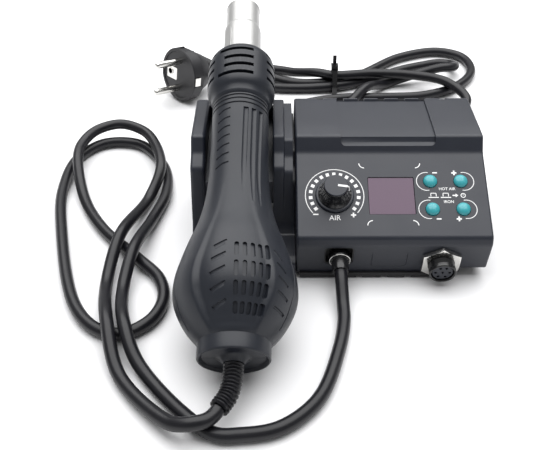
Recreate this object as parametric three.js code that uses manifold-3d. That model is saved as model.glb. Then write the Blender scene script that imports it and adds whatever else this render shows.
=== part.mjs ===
// A two-in-one hot air rework station: the station box, the cradle on its left side, the hot air handset lying in it,
// its lead, and the mains lead with its plug. Millimetres, +Z up, the sloped panel faces -Y.
import * as THREE from "three";
import { mergeVertices } from "three/addons/utils/BufferGeometryUtils.js";
import Module from "manifold-3d";

const wasm = await Module();
wasm.setup();

// Driving dimensions
const gap = 0.3; // between pieces that touch
const wall = 2.4;
const boardThickness = 1.6;

// The case's outline seen from its right side: foot, nose, panel, step, top and back, as [y, z]
const caseLeft = -22;
const caseRight = 79;
const caseFront = -30.2;
const caseBack = 65;
const caseBottom = 2.4;
const foot = [-25, caseBottom];
const noseLow = [-29.6, 24.2];
const panelStart = [-28.4, 28.6];
const panelEnd = [13.6, 51.7];
const stepEnd = [20.5, 60.2];
const caseTop = 60.4;

// The handset's axis rises towards the nozzle; distances along it start at the rear face
const handsetX = -51.3;
const handsetRear = [handsetX, -102.3, 17.4];
const handsetTilt = THREE.MathUtils.degToRad(22);
const gripRadius = 15;
const bulbRadius = 29.1;
const collarRadius = 18.3;
const nozzleRadius = 9.5;
const nozzleEnd = 217;

const handsetLeadRadius = 3.3;
const mainsLeadRadius = 3.4;

// Materials
const colours = {
  shell: { color: 0x3a3b3f, roughness: 0.62, metalness: 0 },
  dark: { color: 0x1b1b1e, roughness: 0.5, metalness: 0 },
  rubber: { color: 0x202124, roughness: 0.75, metalness: 0 },
  steel: { color: 0xd0d0cf, roughness: 0.28, metalness: 1 },
  screw: { color: 0x8e9093, roughness: 0.35, metalness: 1 },
  teal: { color: 0x2fa3a8, roughness: 0.4, metalness: 0 },
  window: { color: 0x6d5468, roughness: 0.12, metalness: 0 },
  board: { color: 0x2c6b3f, roughness: 0.6, metalness: 0 },
  mica: { color: 0xb9ad8d, roughness: 0.7, metalness: 0 },
};

const group = new THREE.Group();

function add(name, geometry, colour) {
  const mesh = new THREE.Mesh(geometry, new THREE.MeshStandardMaterial(colours[colour]));
  mesh.name = name;
  group.add(mesh);
}

// Booleans
function solidOf(geometry) {
  const bare = geometry.clone();
  bare.deleteAttribute("normal");
  bare.deleteAttribute("uv");
  const merged = mergeVertices(bare, 1e-4);
  const vertProperties = new Float32Array(merged.attributes.position.array);
  const triVerts = new Uint32Array(merged.index.array);
  return new wasm.Manifold(new wasm.Mesh({ numProp: 3, vertProperties, triVerts }));
}

function geometryOf(solid) {
  const mesh = solid.getMesh();
  const geometry = new THREE.BufferGeometry();
  geometry.setAttribute("position", new THREE.BufferAttribute(new Float32Array(mesh.vertProperties), 3));
  geometry.setIndex(new THREE.BufferAttribute(new Uint32Array(mesh.triVerts), 1));
  geometry.computeVertexNormals();
  return geometry;
}

function cut(geometry, tools) {
  const removed = wasm.Manifold.union(tools.map(solidOf));
  return geometryOf(solidOf(geometry).subtract(removed));
}

function join(pieces) {
  return geometryOf(wasm.Manifold.union(pieces.map(solidOf)));
}

// Shapes
function box(x, y, z, centre) {
  return new THREE.BoxGeometry(x, y, z).translate(...centre);
}

function roundedRectangle(width, height, radius) {
  const shape = new THREE.Shape();
  const w = width / 2;
  const h = height / 2;
  shape.moveTo(-w + radius, -h);
  shape.lineTo(w - radius, -h);
  shape.absarc(w - radius, -h + radius, radius, -Math.PI / 2, 0);
  shape.lineTo(w, h - radius);
  shape.absarc(w - radius, h - radius, radius, 0, Math.PI / 2);
  shape.lineTo(-w + radius, h);
  shape.absarc(-w + radius, h - radius, radius, Math.PI / 2, Math.PI);
  shape.lineTo(-w, -h + radius);
  shape.absarc(-w + radius, -h + radius, radius, Math.PI, Math.PI * 1.5);
  return shape;
}

function slab(shape, thickness, curveSegments = 4) {
  return new THREE.ExtrudeGeometry(shape, { depth: thickness, bevelEnabled: false, curveSegments });
}

// A closed turned piece on local Z, from [distance along Z, radius] pairs
function turned(profile, segments = 24) {
  const points = profile.map(([along, radius]) => new THREE.Vector2(radius, along));
  return new THREE.LatheGeometry(points, segments).rotateX(Math.PI / 2);
}

function disc(radius, from, to, segments = 24) {
  return turned([[from, 0], [from, radius], [to, radius], [to, 0]], segments);
}

function pipe(outer, inner, from, to, segments = 24) {
  return turned([[from, inner], [from, outer], [to, outer], [to, inner], [from, inner]], segments);
}

// An outline in [y, z] pushed along X
function profileAlongX(points, from, to, bevel = 0) {
  const shape = new THREE.Shape(points.map(([y, z]) => new THREE.Vector2(y, z)));
  const geometry = new THREE.ExtrudeGeometry(shape, {
    depth: to - from - 2 * bevel,
    bevelEnabled: bevel > 0,
    bevelThickness: bevel,
    bevelSize: bevel,
    bevelOffset: -bevel,
    bevelSegments: 2,
  });
  const toYZ = new THREE.Matrix4().makeBasis(
    new THREE.Vector3(0, 1, 0),
    new THREE.Vector3(0, 0, 1),
    new THREE.Vector3(1, 0, 0),
  );
  return geometry.applyMatrix4(toYZ).translate(from + bevel, 0, 0);
}

// A frame whose local X is world X, whose local Y climbs a slope and whose local Z stands out of it
function slopeFrame(origin, along) {
  const x = new THREE.Vector3(1, 0, 0);
  const y = new THREE.Vector3(0, along[0], along[1]).normalize();
  const z = new THREE.Vector3().crossVectors(x, y);
  return new THREE.Matrix4().makeBasis(x, y, z).setPosition(0, origin[0], origin[1]);
}

// The corner between three points, rounded with a quadratic curve
function rounded(before, corner, after, reach, steps = 3) {
  const c = new THREE.Vector2(...corner);
  const start = new THREE.Vector2(...before).sub(c).setLength(reach).add(c);
  const end = new THREE.Vector2(...after).sub(c).setLength(reach).add(c);
  return new THREE.QuadraticBezierCurve(start, c, end).getPoints(steps).map((p) => [p.x, p.y]);
}

// Each edge of a closed outline moved inwards by a distance
function inset(points, distance) {
  const lines = points.map((p, i) => {
    const q = points[(i + 1) % points.length];
    const along = new THREE.Vector2(q[0] - p[0], q[1] - p[1]).normalize();
    return { at: [p[0] - along.y * distance, p[1] + along.x * distance], along };
  });
  return lines.map((line, i) => {
    const previous = lines[(i + lines.length - 1) % lines.length];
    const across = previous.along.cross(line.along);
    const dx = line.at[0] - previous.at[0];
    const dy = line.at[1] - previous.at[1];
    const t = (dx * line.along.y - dy * line.along.x) / across;
    return [previous.at[0] + previous.along.x * t, previous.at[1] + previous.along.y * t];
  });
}

// Frames on the panel and on the face under its nose
const panelFrame = slopeFrame(panelStart, [panelEnd[0] - panelStart[0], panelEnd[1] - panelStart[1]]);
const faceFrame = slopeFrame(foot, [noseLow[0] - foot[0], noseLow[1] - foot[1]]);

function onPanel(geometry, x, up, out = 0) {
  return geometry.translate(x, up, out).applyMatrix4(panelFrame);
}

function onFace(geometry, x, up, out = 0) {
  return geometry.translate(x, up, out).applyMatrix4(faceFrame);
}

// Where things sit on the panel: x, and the distance up from its lower edge
const knobAt = [-1.8, 24.2];
const windowAt = [28, 24.1];
const windowSize = [24.4, 21.4];
const buttonColumns = [48.8, 64.8];
const buttonRows = [16.1, 32.4];
const buttonRadius = 3.4;

// Where things sit on the face under the nose
const glandAt = [0.8, 11.5];
const glandBore = 4.4;
const socketAt = [53.2, 12];
const socketRadius = 6.9;

const feetAt = [[-14, -16], [54, -16], [-14, 56], [70, 56]];
const baseScrewsAt = [[-4, -14], [44, -14], [-4, 54], [60, 54]];
const mainsInlet = [40, 18]; // x and z on the back wall

function outerOutline() {
  return [
    foot,
    [caseBack, caseBottom],
    ...rounded([caseBack, caseBottom], [caseBack, caseTop], stepEnd, 4),
    ...rounded([caseBack, caseTop], stepEnd, panelEnd, 5, 4),
    ...rounded(stepEnd, panelEnd, panelStart, 1.6, 2),
    ...rounded(panelEnd, panelStart, noseLow, 1.2, 2),
    noseLow,
  ];
}

function innerOutline() {
  const outline = [foot, [caseBack, caseBottom], [caseBack, caseTop], stepEnd, panelEnd, panelStart, noseLow];
  return inset(outline, wall).map(([y, z]) => [y, z < 10 ? -1 : z]);
}

function upperCase() {
  const shell = profileAlongX(outerOutline(), caseLeft, caseRight, 1.4);
  const inside = profileAlongX(innerOutline(), caseLeft + wall, caseRight - wall);
  const labelRecess = profileAlongX(
    [[70, 70], [15, 70], [15.3, 56.2], [17.6, 55.4], [22.4, 59.4], [70, 59.4]], 3.6, 54);
  const tools = [inside, labelRecess];
  tools.push(onPanel(slab(roundedRectangle(windowSize[0], windowSize[1], 0.6), 8, 1), ...windowAt, -6));
  tools.push(onPanel(disc(4.2, -6, 2), ...knobAt));
  for (const x of buttonColumns) {
    for (const up of buttonRows) tools.push(onPanel(disc(buttonRadius + gap, -6, 2, 16), x, up));
  }
  tools.push(onFace(slab(roundedRectangle(16.4, 12, 2), 4, 2), glandAt[0], glandAt[1], -1.2));
  tools.push(onFace(disc(glandBore + gap, -6, 2), ...glandAt));
  tools.push(onFace(disc(socketRadius + gap, -6, 2), ...socketAt));
  tools.push(disc(5.6 + gap, -4, 4).rotateX(-Math.PI / 2).translate(mainsInlet[0], caseBack, mainsInlet[1]));
  for (let i = 0; i < 7; i++) tools.push(box(3.8, 8, 22, [-8.2 + 11.8 * i, caseBack, 51]));
  tools.push(raisedCorner(0));
  return cut(shell, tools);
}

// The right front corner stands higher off the table than the rest
function raisedCorner(margin) {
  return box(30 + 2 * margin, 30 + 2 * margin, 7, [caseRight + 1, caseFront, 3.3]);
}

function baseCover() {
  const thickness = 2;
  const plate = box(caseRight - caseLeft - 2 * wall - 2 * gap, 84.4, thickness, [
    (caseLeft + caseRight) / 2, 20, caseBottom + thickness / 2]);
  const posts = baseScrewsAt.map(([x, y]) => disc(3, 3, 12, 12).translate(x, y, 0));
  const tools = baseScrewsAt.map(([x, y]) => disc(1.5, -1, 13, 12).translate(x, y, 0));
  for (let i = 0; i < 6; i++) tools.push(box(36, 3, 9, [34, 4 + 8 * i, caseBottom]));
  tools.push(raisedCorner(gap));
  return cut(join([plate, ...posts]), tools);
}

function screw(headRadius, length) {
  const shank = headRadius * 0.45;
  return turned([
    [0, 0], [0, headRadius * 0.8], [0.5, headRadius], [1.5, headRadius], [1.5, shank], [length, shank], [length, 0],
  ], 10);
}

function addStation() {
  add("upper_case", upperCase(), "shell");
  add("base_cover", baseCover(), "dark");
  feetAt.forEach(([x, y], i) => {
    const rubberFoot = turned([[0, 0], [0, 4.2], [0.6, 4.8], [caseBottom - gap, 5], [caseBottom - gap, 0]], 16);
    add(`rubber_foot_${i + 1}`, rubberFoot.translate(x, y, 0), "rubber");
  });
  baseScrewsAt.forEach(([x, y], i) => {
    add(`base_screw_${i + 1}`, screw(2.4, 8).translate(x, y, 0.6), "screw");
  });
  const pane = slab(roundedRectangle(windowSize[0] - 2 * gap, windowSize[1] - 2 * gap, 0.5), 1.6, 1);
  add("display_window", onPanel(pane, ...windowAt, -2.2), "window");
  const digits = slab(roundedRectangle(23, 20, 0.5), 5, 1);
  add("display_module", onPanel(digits, ...windowAt, -7.6), "dark");
  const boardAt = [28.5, 24];
  const board = slab(roundedRectangle(86, 41, 1), boardThickness, 1);
  const potHole = disc(4.6, -1, 3).translate(knobAt[0] - boardAt[0], knobAt[1] - boardAt[1], 0);
  add("control_board", onPanel(cut(board, [potHole]), ...boardAt, -9.6), "board");
  const transformer = join([
    box(34, 26, 30, [54, 32, 20.2]),
    box(22, 34, 22, [54, 32, 20.2]),
  ]);
  add("transformer", transformer, "dark");
  add("power_board", box(44, 56, boardThickness, [6, 26, 15.4]), "board");
}

function addControls() {
  const pot = turned([
    [-14, 0], [-14, 4.2], [-5, 4.2], [-5, 3.2], [1, 3.2], [1, 2], [8, 2], [8, 0],
  ], 16);
  add("airflow_pot", onPanel(pot, ...knobAt), "screw");
  add("airflow_knob", onPanel(airflowKnob(), ...knobAt), "dark");
  const places = ["iron", "hot_air"];
  const signs = ["down", "up"];
  buttonRows.forEach((up, row) => {
    buttonColumns.forEach((x, column) => {
      const cap = turned([
        [-4, 0], [-4, buttonRadius + 0.9], [-2.8, buttonRadius + 0.9], [-2.8, buttonRadius], [0.9, buttonRadius],
        [1.7, buttonRadius * 0.8], [2.1, buttonRadius * 0.4], [2.2, 0],
      ], 16);
      add(`${places[row]}_${signs[column]}_button`, onPanel(cap, x, up), "teal");
    });
  });
}

// A flared skirt, a fluted waist and a flat cap, with a blind hole for the shaft
function airflowKnob() {
  const body = turned([
    [0.6, 0], [0.6, 9.6], [2.2, 9.6], [3, 8.6], [5, 7.4], [13.4, 6.3], [14, 5.7], [14, 0],
  ], 20);
  const flutes = [];
  const count = 10;
  for (let i = 0; i < count; i++) {
    const turn = (i / count) * 2 * Math.PI;
    flutes.push(disc(0.8, 3.6, 15, 6).translate(7.5 * Math.cos(turn), 7.5 * Math.sin(turn), 0));
  }
  return cut(body, [disc(3.2 + gap, -1, 1.6, 16), disc(2 + gap, -1, 8.4, 16), ...flutes]);
}

// A six-sided nut with a plain bore
function hexagon(acrossFlats, thickness, bore) {
  const plate = disc(acrossFlats / Math.sqrt(3), 0, thickness, 6);
  return cut(plate, [disc(bore, -1, thickness + 1)]);
}

function addFrontFittings() {
  const gland = turned([
    [-4.2, 0], [-4.2, glandBore], [0.6, glandBore], [0.6, 5.7], [2.2, 5.7], [3, 5.2], [9, 4.6], [9, 0],
  ], 20);
  add("hose_gland", onFace(gland, ...glandAt, -1.2), "rubber");
  const barrel = turned([
    [-8, 0], [-8, 6], [-1, 6], [-1, socketRadius], [11.6, socketRadius], [11.6, 5.7], [9.4, 5.7], [9.4, 0],
  ]);
  const keyed = cut(barrel, [disc(5.5, 3, 10)]);
  add("iron_socket_barrel", onFace(keyed, ...socketAt), "dark");
  add("iron_socket_nut", onFace(hexagon(19.4, 2.6, socketRadius + gap), ...socketAt, gap), "screw");
  const contacts = [[0, 0]];
  for (let i = 0; i < 4; i++) {
    const turn = Math.PI / 4 + (i * Math.PI) / 2;
    contacts.push([3.1 * Math.cos(turn), 3.1 * Math.sin(turn)]);
  }
  const insert = cut(
    disc(5.5 - gap, 3 + gap, 9.8),
    contacts.map(([x, y]) => disc(0.75, 6, 11, 8).translate(x, y, 0)),
  );
  add("iron_socket_insert", onFace(insert, ...socketAt), "dark");
}

// The cradle: two side walls that follow the case's outline, a saddle for the grip and a base plate
const cradleLeft = -78.3;
const cradleInnerLeft = -70.3;
const cradleInnerRight = -34.1;
const cradleRight = -27.8;
const cradleScrewsAt = [10, 44]; // along Y, through the right wall

function cradleOutline() {
  const back = caseBack - 2;
  return [
    [caseFront + 3, 0], [back, 0], ...rounded([back, 0], [back, caseTop], stepEnd, 3),
    ...rounded([back, caseTop], stepEnd, panelEnd, 5, 4), panelEnd, [6.8, 48], [5, 45],
    [-1, 16], [-3, 13], [-24, 12], [caseFront + 3, 10],
  ];
}

function cradle() {
  const left = profileAlongX(cradleOutline(), cradleLeft, cradleInnerLeft, 1.2);
  const right = profileAlongX(cradleOutline(), cradleInnerRight, cradleRight, 1);
  const base = box(caseLeft - gap - cradleLeft - 3, 88, 3, [(caseLeft - gap + cradleLeft + 3) / 2, 17, 1.5]);
  const saddle = profileAlongX([[6, 26], [31, 36], [31, 60], [6, 50]], cradleInnerLeft - 2, cradleInnerRight + 1);
  const bracket = box(7, 50, 14, [cradleRight + 1.9, 27, 8]);
  const groove = alongHandset(disc(gripRadius + 0.5, 90, 180, 28));
  const headroom = alongHandset(
    box(2 * gripRadius + 1, 40, 90, [0, 20, 135]),
  );
  const screwHoles = cradleScrewsAt.map((y) => (
    turned([[-9, 0], [-9, 2.6], [-4, 2.6], [-4, 1.4], [4, 1.4], [4, 0]], 12)
      .rotateY(Math.PI / 2).translate(cradleRight, y, 9)));
  return cut(join([left, right, base, saddle, bracket]), [groove, headroom, ...screwHoles]);
}

// Local Z becomes the handset's axis, from its rear face to the nozzle, and local Y its upper side, so local X is -X
function alongHandset(geometry) {
  const x = new THREE.Vector3(-1, 0, 0);
  const z = new THREE.Vector3(0, Math.cos(handsetTilt), Math.sin(handsetTilt));
  const y = new THREE.Vector3().crossVectors(z, x);
  const frame = new THREE.Matrix4().makeBasis(x, y, z).setPosition(...handsetRear);
  return geometry.applyMatrix4(frame);
}

const shellProfile = [
  [0, 16.7], [7.5, 16.7], [9.4, 18.6], [14, 22.4], [19.9, 25.9], [26, 28.3], [31.4, bulbRadius], [38, 28.7],
  [45.3, 27], [56, 23.8], [67, 19.9], [75.6, 17.7], [85, 16.2], [96.3, 15.3], [110, gripRadius], [142, gripRadius],
];

// Screws in the underside: across, out from the axis, and along it
const handsetScrewsAt = [[-13, -17.6, 60], [13, -17.6, 60], [-9, -11.6, 104], [9, -11.6, 104]];

function handsetShell(upper) {
  const last = shellProfile[shellProfile.length - 1][0];
  const outer = [[0, 0], ...shellProfile, [last, 0]];
  const inner = shellProfile.slice(1).map(([along, radius]) => [along, radius - wall]);
  const cavity = turned([[3, 0], [3, 14], ...inner, [last + 1, gripRadius - wall], [last + 1, 0]], 24);
  const side = upper ? 1 : -1;
  const otherHalf = box(80, 40, 300, [0, -side * (20 - gap / 2), 100]);
  const tools = [cavity, otherHalf, disc(7, -1, 4)];
  if (upper) {
    tools.push(...ventSlots());
  } else {
    for (const [x, , along] of handsetScrewsAt) {
      tools.push(disc(2.2 + gap, -30, -6, 12).rotateX(-Math.PI / 2).translate(x, 0, along));
    }
  }
  return alongHandset(cut(turned(outer, 24), tools));
}

// Rows of long slots over the fan, right of the middle, as [where, how long]
const ventRows = [[14.8, 5], [22.2, 6], [31.2, 7], [41.4, 7.6]];
const ventColumns = 5;

function ventSlots() {
  const slots = [];
  for (const [along, length] of ventRows) {
    for (let column = 0; column < ventColumns; column++) {
      const turn = THREE.MathUtils.degToRad(3 + 7.6 * column);
      slots.push(box(1.8, 30, length, [0, 15, along]).rotateZ(turn));
    }
  }
  return slots;
}

function ventCollar() {
  const body = turned([
    [142.3, 0], [142.3, 14.2], [144, gripRadius + 0.6], [147, gripRadius + 1], [150, collarRadius],
    [170, collarRadius], [174.4, 17], [177, 14], [178, 11], [178, 0],
  ], 24);
  const tools = [disc(11.2, 141, 175, 24), disc(nozzleRadius + gap, 170, 180, 24)];
  for (const side of [-72, 0, 72]) {
    for (let i = 0; i < 4; i++) {
      const slit = box(17, 12, 1.3, [0, 18, 153.6 + 5.6 * i]);
      tools.push(slit.rotateZ(THREE.MathUtils.degToRad(side)));
    }
  }
  return alongHandset(cut(body, tools));
}

function addHandset() {
  add("handset_upper_shell", handsetShell(true), "shell");
  add("handset_lower_shell", handsetShell(false), "shell");
  add("vent_collar", ventCollar(), "shell");
  const nozzle = turned([
    [150, nozzleRadius - 0.8], [150, nozzleRadius], [199, nozzleRadius], [201.5, nozzleRadius - 0.9],
    [nozzleEnd, nozzleRadius - 0.9], [nozzleEnd, nozzleRadius - 1.7], [201, nozzleRadius - 1.7],
    [199, nozzleRadius - 0.8], [150, nozzleRadius - 0.8],
  ], 28);
  add("nozzle_tube", alongHandset(nozzle), "steel");
  add("heater_core", alongHandset(disc(6.4, 112, 190, 12)), "mica");
  add("fan_motor", alongHandset(pipe(9, 2.6, 18, 34, 20)), "dark");
  add("fan_impeller", alongHandset(fanImpeller()), "dark");
  const rearCap = turned([
    [1, 0], [1, 6.6], [4.4, 6.6], [4.4, 9], [7.4, 9], [7.4, 0],
  ], 20);
  add("lead_clamp", alongHandset(cut(rearCap, [disc(handsetLeadRadius, 0, 9, 12)])), "dark");
  add("handset_magnet", alongHandset(disc(4, 100, 103, 16).translate(0, -7, 0)), "screw");
  handsetScrewsAt.forEach(([x, depth, along], i) => {
    const fastener = screw(2.2, 7).rotateX(-Math.PI / 2).translate(x, depth, along);
    add(`handset_screw_${i + 1}`, alongHandset(fastener), "screw");
  });
}

function fanImpeller() {
  const hub = turned([[35, 0], [35, 10], [47, 8], [47, 0]], 20);
  const axle = disc(2.2, 19, 36, 12);
  const plate = disc(20.5, 35, 36.2, 28);
  const blades = [];
  const count = 9;
  for (let i = 0; i < count; i++) {
    const blade = box(1.2, 13.5, 10, [3, 13.4, 40.5]);
    blades.push(blade.rotateZ((i / count) * 2 * Math.PI));
  }
  return join([hub, axle, plate, ...blades]);
}

// Leads. A tube follows a smooth curve through its points; the joint between two pieces is left open by the gap
function tube(points, radius, steps, sides = 8) {
  const curve = new THREE.CatmullRomCurve3(points.map((p) => new THREE.Vector3(...p)), false, "centripetal");
  const section = new THREE.Shape();
  for (let i = 0; i < sides; i++) {
    const turn = (i / sides) * 2 * Math.PI;
    const corner = [radius * Math.cos(turn), radius * Math.sin(turn)];
    if (i === 0) section.moveTo(...corner);
    else section.lineTo(...corner);
  }
  section.closePath();
  return new THREE.ExtrudeGeometry(section, { steps, extrudePath: curve, bevelEnabled: false });
}

// From the handset's strain relief, round two loops on the table, to the gland under the nose
const handsetLeadRoute = [
  [-57.2, -123.5, 10.85], [-58.8, -126.1, 10.5], [-62, -129.4, 10.8], [-67.5, -131, 10.8],
  [-73, -130.2, 9.2], [-79, -127, 7], [-104, -99, 4.2], [-114, -70, 10.9], [-121, -34, 4.2],
  [-118.3, -2, 10.9], [-109, 42, 4.2], [-104, 66, 10.9], [-112, 95, 12.5], [-121, 108, 13.2],
  [-137, 116, 13.4], [-151, 109, 13], [-158, 94, 12], [-158, 78, 10.9], [-148, 43, 4.2], [-131, 12, 3.8],
  [-108, -14, 3.8], [-94, -31, 3.8], [-90, -48, 3.8], [-95, -63, 3.8], [-107, -71.8, 3.8],
  [-120, -68.5, 3.8], [-134, -52, 3.8], [-155, 12, 3.8], [-163, 52, 3.8], [-161, 88, 3.8],
  [-147, 107, 3.8], [-124, 106, 3.8], [-104, 78, 3.8], [-99, 50, 4], [-104, 18, 5.5], [-109, -14, 11],
  [-111, -42, 6.4], [-105, -73, 10.9], [-95, -94, 4.6], [-60, -130.5, 3.8], [-40, -131, 3.8],
  [-4, -100, 3.8], [6, -62, 3.8], [4.7, -52, 4.9], [2.9, -45, 8.2], [1.2, -39.5, 11.1], [0.8, -35.3, 12],
];

// From the back of the case: round to the right, left through the tie, a fold, a narrow fold, a wide loop, the plug
const mainsLeadRoute = [
  [40, 89.4, 18], [40, 93, 18], [41.2, 102, 16.2], [50, 114, 9.5], [68, 127, 4.4], [94, 143, 4.5],
  [106, 161, 8], [94, 183, 11.2], [73, 193, 11.3], [42, 196, 11.6], [12, 192.3, 11.9], [0, 197, 11.7],
  [-18, 210, 6], [-31, 220, 4], [-54, 224, 4], [-67, 211, 4], [-61, 194, 4], [-36, 187, 4], [-9, 187, 4],
  [12, 188.3, 5.2], [40, 201, 4], [67, 218, 4], [84, 225.5, 4], [98, 230, 4], [106, 225.3, 5.2],
  [107.8, 216.6, 7.8], [103, 209.2, 10.2], [94, 206.4, 11], [66, 201, 5.4], [50, 193, 4], [34, 174, 10.9],
  [12, 146.5, 4.6], [-3, 140.5, 4], [-11.8, 143.7, 4], [-15.5, 152.5, 4], [-11.8, 161.3, 4],
  [-3, 165.5, 4], [20, 171, 4], [46, 171.6, 4], [79, 175, 4], [106, 191, 4], [121, 216, 4], [118, 242, 4],
  [100, 252, 4], [68, 241, 4], [34, 210, 4], [12, 195.8, 5.2], [-16, 195.5, 4], [-44, 202, 5],
  [-61, 196, 11.6], [-69.5, 188.2, 18.4], [-76.6, 184.85, 20], [-79.72, 183.7, 20],
];

// The strain relief sags from the handset's rear face to the table
const reliefRoute = [
  [-51.3, -104.2, 16.6], [-51.6, -110, 14.7], [-53.2, -116.8, 12.2], [-55.4, -120.6, 11.3], [-57, -123.2, 10.9],
];

// The plug's axis lies level and points to the left and a little forward; local Z runs from its rear to its pins
const plugRear = [-80, 183.6, 20];
const plugTurn = THREE.MathUtils.degToRad(20);

function alongPlug(geometry) {
  const z = new THREE.Vector3(-Math.cos(plugTurn), -Math.sin(plugTurn), 0);
  const y = new THREE.Vector3(0, 0, 1);
  const x = new THREE.Vector3().crossVectors(y, z);
  return geometry.applyMatrix4(new THREE.Matrix4().makeBasis(x, y, z).setPosition(...plugRear));
}

const pinSpacing = 19;
const pinRadius = 2.4;
const plugFace = 33;

function plugBody() {
  const body = turned([
    [0, 0], [0, 5.4], [6, 6.4], [9, 9], [12, 15.5], [14, 18.6], [17, 19.4], [plugFace, 19.4], [plugFace, 0],
  ], 28);
  const tools = [];
  for (const side of [-1, 1]) {
    tools.push(disc(pinRadius + gap, 14, plugFace + 1, 12).translate(0, (side * pinSpacing) / 2, 0));
    tools.push(box(4.4, 5.6, 14, [side * 18.4, 0, plugFace - 6]));
    tools.push(box(7, 4, 11, [0, side * 19.6, plugFace - 4]));
  }
  tools.push(disc(3, 16, plugFace + 1, 12).translate(-7, 0, 0));
  return cut(body, tools);
}

// A band round the three strands of the folded mains lead, with its lock and its cut tail on top
function cableTie() {
  const room = [[183.4, 1.4], [202, 1.4], [202.6, 8], [197.2, 16.5], [187.2, 16.5], [182.9, 8]];
  const band = cut(profileAlongX(inset(room, -1.2), 10, 13.6), [profileAlongX(room, 9, 15)]);
  const lock = box(5, 6, 3.4, [11.8, 192, 18.9]);
  const tail = box(2.6, 1, 8, [11.8, 194, 23]);
  return join([band, lock, tail]);
}

function addLeads() {
  const relief = tube(reliefRoute, 4.3, 6, 10);
  add("strain_relief", relief, "rubber");
  add("handset_lead", tube(handsetLeadRoute, handsetLeadRadius, 78), "rubber");
  const gland = turned([
    [-4, 0], [-4, 5.6], [gap, 5.6], [gap, 8], [2.6, 8], [3.4, 6.4], [24, 4.3], [24, 0],
  ], 16);
  const [inletX, inletZ] = mainsInlet;
  add("mains_gland", gland.rotateX(-Math.PI / 2).translate(inletX, caseBack, inletZ), "rubber");
  add("mains_lead", tube(mainsLeadRoute, mainsLeadRadius, 80), "rubber");
  add("cable_tie", cableTie(), "dark");
  add("plug_body", alongPlug(plugBody()), "rubber");
  for (const side of [-1, 1]) {
    const pin = turned([
      [15, 0], [15, pinRadius], [plugFace + 17.6, pinRadius], [plugFace + 18.6, 1.8], [plugFace + 19, 0.8],
      [plugFace + 19, 0],
    ], 12);
    const name = side > 0 ? "plug_pin_upper" : "plug_pin_lower";
    add(name, alongPlug(pin.translate(0, (side * pinSpacing) / 2, 0)), "steel");
    const clip = box(1.6, 4.8, 13, [side * 17.6, 0, plugFace - 6]);
    add(side > 0 ? "earth_clip_near" : "earth_clip_far", alongPlug(clip), "steel");
  }
  const sleeve = pipe(3 - gap, 2, 17, plugFace - 0.5, 12).translate(-7, 0, 0);
  add("earth_sleeve", alongPlug(sleeve), "steel");
}

function addCradle() {
  add("cradle", cradle(), "shell");
  cradleScrewsAt.forEach((y, i) => {
    const fastener = screw(2.3, 8).rotateY(Math.PI / 2).translate(cradleRight - 6, y, 9);
    add(`cradle_screw_${i + 1}`, fastener, "screw");
  });
}

addStation();
addControls();
addFrontFittings();
addCradle();
addHandset();
addLeads();

// The origin stands under the middle of everything but the leads
const leadPieces = /lead$|^plug|^earth|cable_tie|strain_relief|mains_gland/;
const body = new THREE.Box3();
for (const mesh of group.children) {
  if (!leadPieces.test(mesh.name)) body.expandByObject(mesh);
}
const middle = body.getCenter(new THREE.Vector3());
for (const mesh of group.children) mesh.geometry.translate(-middle.x, -middle.y, -body.min.z);

export default group;
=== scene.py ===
"""The looks of a two-in-one hot air rework station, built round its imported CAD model.

Shapes are worked out in the part's own millimetres (+Z up, the sloped panel faces -Y), and become metres
when a piece is finished.
"""
import bmesh
import bpy
import math
from mathutils import Matrix, Vector
from mathutils.geometry import interpolate_bezier


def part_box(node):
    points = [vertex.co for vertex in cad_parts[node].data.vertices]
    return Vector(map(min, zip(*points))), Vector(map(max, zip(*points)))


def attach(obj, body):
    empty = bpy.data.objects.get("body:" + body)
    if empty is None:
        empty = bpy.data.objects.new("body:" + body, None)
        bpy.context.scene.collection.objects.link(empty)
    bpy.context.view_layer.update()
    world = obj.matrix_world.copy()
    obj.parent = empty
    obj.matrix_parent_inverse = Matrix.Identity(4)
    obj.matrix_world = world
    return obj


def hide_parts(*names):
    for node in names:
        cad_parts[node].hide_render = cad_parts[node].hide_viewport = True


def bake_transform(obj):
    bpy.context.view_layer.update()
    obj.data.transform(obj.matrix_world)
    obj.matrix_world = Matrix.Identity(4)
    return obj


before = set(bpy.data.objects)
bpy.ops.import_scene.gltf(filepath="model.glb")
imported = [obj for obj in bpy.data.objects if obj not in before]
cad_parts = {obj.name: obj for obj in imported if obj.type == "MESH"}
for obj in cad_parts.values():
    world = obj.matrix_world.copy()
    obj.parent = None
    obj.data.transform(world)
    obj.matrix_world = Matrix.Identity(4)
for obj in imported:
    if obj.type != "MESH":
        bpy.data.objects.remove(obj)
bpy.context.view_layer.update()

MM = 0.001

# Where the part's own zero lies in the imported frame, read off a rubber foot whose centre is known
FIRST_FOOT = (-14.0, -16.0)
foot_low, foot_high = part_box("rubber_foot_1")
SHIFT = Vector((
    (foot_low[0] + foot_high[0]) / 2 - FIRST_FOOT[0] * MM,
    (foot_low[1] + foot_high[1]) / 2 - FIRST_FOOT[1] * MM,
    0.0,
))
TO_METRES = Matrix.Translation(SHIFT) @ Matrix.Scale(MM, 4)


def metres(point):
    return TO_METRES @ Vector(point)


# ---------------- dimensions, in millimetres

CASE_LEFT = -22.0
CASE_RIGHT = 79.0
CASE_BACK = 65.0
CASE_BOTTOM = 2.4
CASE_TOP = 60.4
CASE_FRONT = -30.2
WALL = 2.4
FOOT = (-25.0, CASE_BOTTOM)
NOSE_LOW = (-29.6, 24.2)
PANEL_START = (-28.4, 28.6)
PANEL_END = (15.2, 52.5)
TOP_BEND = (30.0, 60.4)
STEP_END = (20.3, 60.1)

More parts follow.
